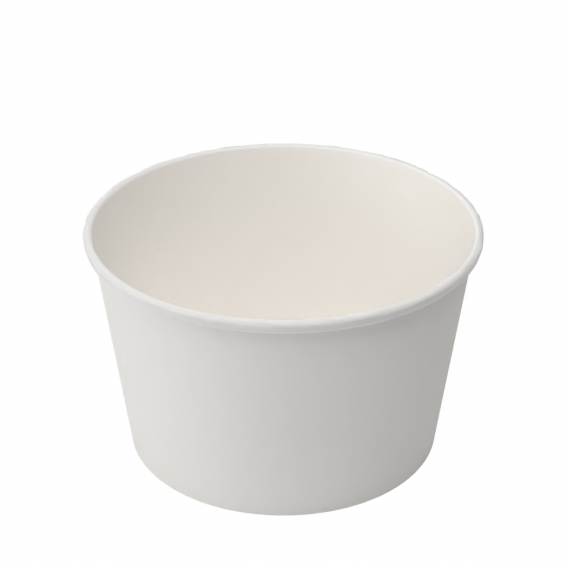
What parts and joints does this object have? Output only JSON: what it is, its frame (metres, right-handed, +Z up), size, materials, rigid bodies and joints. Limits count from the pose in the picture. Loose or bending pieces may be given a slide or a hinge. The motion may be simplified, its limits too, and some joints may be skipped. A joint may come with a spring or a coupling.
{
  "type": "paper bowl",
  "caption": "Open paper bowl: a tapered side wall with a lapped seam and an outward rolled rim, folded at its foot over the skirt of a flat base disc that stands clear of the table.",
  "frame": {"origin": "on the table, under the middle of the bowl", "axes": "+Z up through the open mouth; the seam is at the back right, towards +X and +Y"},
  "size_m": [0.1181, 0.1183, 0.0713],
  "materials": {
    "wall_board": "white uncoated outside, faint sheen of the coating inside",
    "base_board": "off-white, faint sheen of the coating on top"
  },
  "bodies": {
    "root": {"side_wall": "wall_board", "base_disc": "base_board"}
  },
  "joints": []
}
